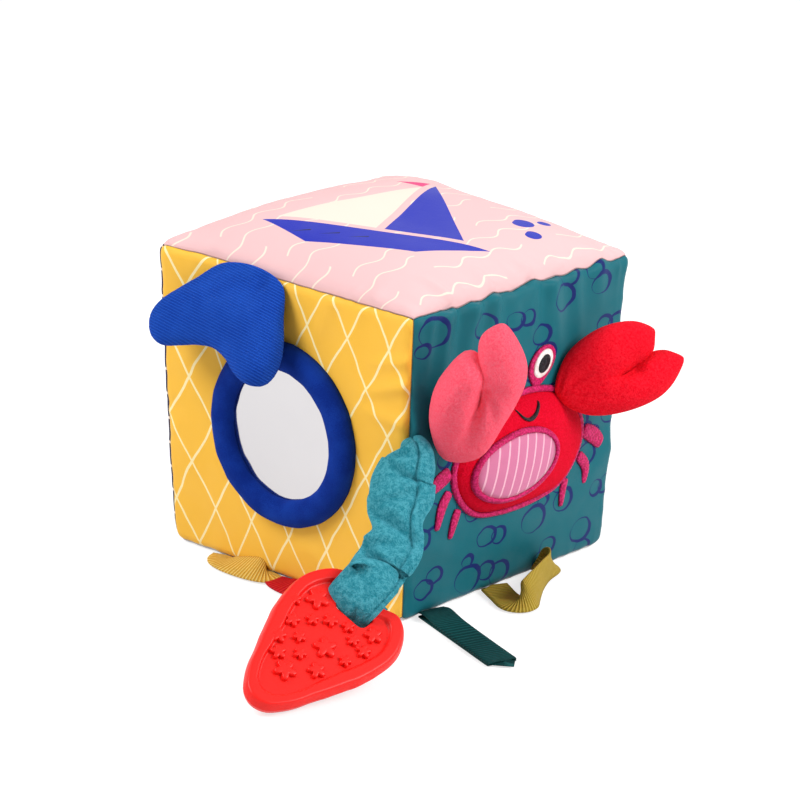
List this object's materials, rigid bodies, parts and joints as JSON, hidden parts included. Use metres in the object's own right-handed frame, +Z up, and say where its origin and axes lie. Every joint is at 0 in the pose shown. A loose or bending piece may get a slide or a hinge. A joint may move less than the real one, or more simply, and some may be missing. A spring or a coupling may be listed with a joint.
{
  "type": "soft fabric activity cube",
  "caption": "Soft fabric activity cube with a padded mirror, a plush crab with stuffed claws, a stuffed tail, ribbon loops, a rattle and a heart teether on a strap.",
  "frame": {"origin": "middle of the underside, on the surface the block stands on", "axes": "+Z up; -Y out of the mirror side; +X out of the crab side"},
  "size_m": [0.2244, 0.2816, 0.1662],
  "materials": {
    "belly_cloth": "stitched",
    "black_thread": "stitched",
    "blue_velour": "short velour",
    "elastic_web": "stitched",
    "foam": "open-cell foam",
    "green_tape": "woven satin",
    "grey_cotton": "plain weave",
    "magenta_thread": "stitched",
    "mirror_film": "flexible polished film",
    "navy_satin": "woven satin",
    "olive_tape": "woven satin",
    "pink_satin": "woven satin",
    "red_plush": "short plush",
    "red_silicone": "matte moulded silicone",
    "red_tape": "woven satin",
    "teal_plush": "short plush",
    "teal_satin": "woven satin",
    "wadding": "soft fibre fill",
    "white_plastic": "moulded",
    "white_thread": "stitched",
    "yellow_satin": "woven satin",
    "yellow_tape": "woven satin"
  },
  "bodies": {
    "block": {"belly_patch": "belly_cloth", "belly_stitching": "magenta_thread", "crab_body": "red_plush", "crab_border": "magenta_thread", "crab_padding": "wadding", "eye_pupil_left": "black_thread", "eye_pupil_right": "black_thread", "eye_stalk_left": "magenta_thread", "eye_stalk_right": "magenta_thread", "eye_white_left": "white_thread", "eye_white_right": "white_thread", "foam_core": "foam", "foam_plug": "foam", "leg_left_1": "magenta_thread", "leg_left_2": "magenta_thread", "leg_left_3": "magenta_thread", "leg_right_1": "magenta_thread", "leg_right_2": "magenta_thread", "leg_right_3": "magenta_thread", "mirror_plate": "mirror_film", "mirror_ring": "blue_velour", "mouth_stitch": "black_thread", "panel_back": "navy_satin", "panel_bottom": "grey_cotton", "panel_front": "yellow_satin", "panel_left": "navy_satin", "panel_right": "teal_satin", "panel_top": "pink_satin", "rattle_case_base": "white_plastic", "rattle_case_lid": "white_plastic"},
    "claw_left": {"claw_left_front_skin": "red_plush", "claw_left_back_skin": "red_plush", "claw_left_filling": "wadding"},
    "claw_right": {"claw_right_front_skin": "red_plush", "claw_right_back_skin": "red_plush", "claw_right_filling": "wadding"},
    "tail": {"tail_front_skin": "blue_velour", "tail_back_skin": "blue_velour", "tail_filling": "wadding"},
    "strap": {"strap_sleeve": "teal_plush", "strap_elastic": "elastic_web"},
    "teether": {"teether": "red_silicone"},
    "ribbon_yellow_right": {"ribbon_yellow_right": "olive_tape"},
    "ribbon_yellow_front": {"ribbon_yellow_front": "yellow_tape"},
    "ribbon_red_front": {"ribbon_red_front": "red_tape"},
    "ribbon_green_right": {"ribbon_green_right": "green_tape"},
    "rattle_bead_1": {"rattle_bead_1": "white_plastic"},
    "rattle_bead_2": {"rattle_bead_2": "white_plastic"},
    "rattle_bead_3": {"rattle_bead_3": "white_plastic"},
    "rattle_bead_4": {"rattle_bead_4": "white_plastic"}
  },
  "joints": [
    {"name": "claw_left_swing", "type": "hinge", "parent": "block", "child": "claw_left", "pos_m": [0.09629, -0.0546, 0.0975], "axis": [1, 0, 0], "range_deg": [-26, 12]},
    {"name": "claw_right_swing", "type": "hinge", "parent": "block", "child": "claw_right", "pos_m": [0.08547, 0.0234, 0.0924], "axis": [-0.5616, -0.1267, 0.8176], "range_deg": [-80, 8]},
    {"name": "tail_lift", "type": "hinge", "parent": "block", "child": "tail", "pos_m": [-0.01, -0.07746, 0.15024], "axis": [1, 0, 0], "range_deg": [-110, 3]},
    {"name": "strap_swing", "type": "hinge", "parent": "block", "child": "strap", "pos_m": [0.07601, -0.07601, 0.0905], "axis": [0.9323, 0.3616, 0], "range_deg": [-56, 20]},
    {"name": "teether_turn", "type": "hinge", "parent": "strap", "child": "teether", "pos_m": [0.09464, -0.12403, 0.03], "axis": [0.8386, 0.2017, -0.5059], "range_deg": [-85, 80]},
    {"name": "ribbon_yellow_right_fold", "type": "hinge", "parent": "block", "child": "ribbon_yellow_right", "pos_m": [0.07457, 0.008, 0.0019], "axis": [0, 1, 0], "range_deg": [-12, 85]},
    {"name": "ribbon_yellow_front_fold", "type": "hinge", "parent": "block", "child": "ribbon_yellow_front", "pos_m": [-0.022, -0.07457, 0.0019], "axis": [1, 0, 0], "range_deg": [-17, 85]},
    {"name": "ribbon_red_front_fold", "type": "hinge", "parent": "block", "child": "ribbon_red_front", "pos_m": [0.014, -0.07457, 0.0019], "axis": [1, 0, 0], "range_deg": [-17, 85]},
    {"name": "ribbon_green_right_fold", "type": "hinge", "parent": "block", "child": "ribbon_green_right", "pos_m": [0.07457, -0.0555, 0.0019], "axis": [0, 1, 0], "range_deg": [-22, 60]},
    {"name": "rattle_bead_1_drop", "type": "slide", "parent": "block", "child": "rattle_bead_1", "axis": [0, 0, 1], "range_m": [0, 0.0129]},
    {"name": "rattle_bead_2_drop", "type": "slide", "parent": "block", "child": "rattle_bead_2", "axis": [0, 0, 1], "range_m": [0, 0.0129]},
    {"name": "rattle_bead_3_drop", "type": "slide", "parent": "block", "child": "rattle_bead_3", "axis": [0, 0, 1], "range_m": [0, 0.0129]},
    {"name": "rattle_bead_4_drop", "type": "slide", "parent": "block", "child": "rattle_bead_4", "axis": [0, 0, 1], "range_m": [0, 0.0129]}
  ]
}
